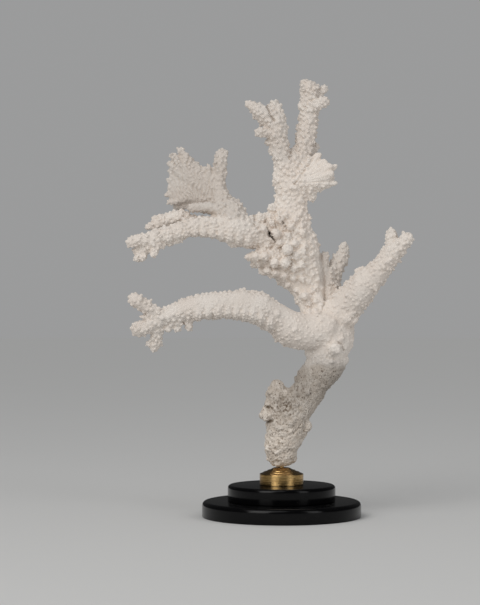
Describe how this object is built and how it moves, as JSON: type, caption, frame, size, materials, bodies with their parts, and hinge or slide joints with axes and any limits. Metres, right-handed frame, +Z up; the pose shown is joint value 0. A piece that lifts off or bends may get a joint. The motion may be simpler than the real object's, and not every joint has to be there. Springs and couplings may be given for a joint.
{
  "type": "coral skeleton on a display stand",
  "caption": "Bleached branching coral skeleton with knobbly curved branches and a webbed fan, pinned upright on a turned brass mount over a stepped round black base.",
  "frame": {"origin": "middle of the flat underside of the lower disc, where the stand rests on a table", "axes": "+Z straight up from the table along the stand's axis; the pictured front faces -Y, so the long lower branch reaches towards -X"},
  "size_m": [0.2721, 0.1524, 0.4211],
  "materials": {
    "black_lacquer": "glossy black lacquer on turned wood",
    "aged_brass": "turned brass, aged to a golden brown",
    "coral_skeleton": "matt, porous, bleached off-white limestone"
  },
  "bodies": {
    "root": {"base_lower_disc": "black_lacquer", "base_upper_disc": "black_lacquer", "brass_ferrule": "aged_brass", "mounting_pin": "aged_brass", "coral_trunk": "coral_skeleton", "coral_lower_left_arm": "coral_skeleton", "coral_right_arm": "coral_skeleton", "coral_rear_branch": "coral_skeleton", "coral_crown": "coral_skeleton", "coral_crown_left_branch": "coral_skeleton", "coral_crown_right_branch": "coral_skeleton", "coral_broken_stub": "coral_skeleton", "coral_upper_left_branch": "coral_skeleton", "coral_upper_left_fan": "coral_skeleton"}
  },
  "joints": []
}
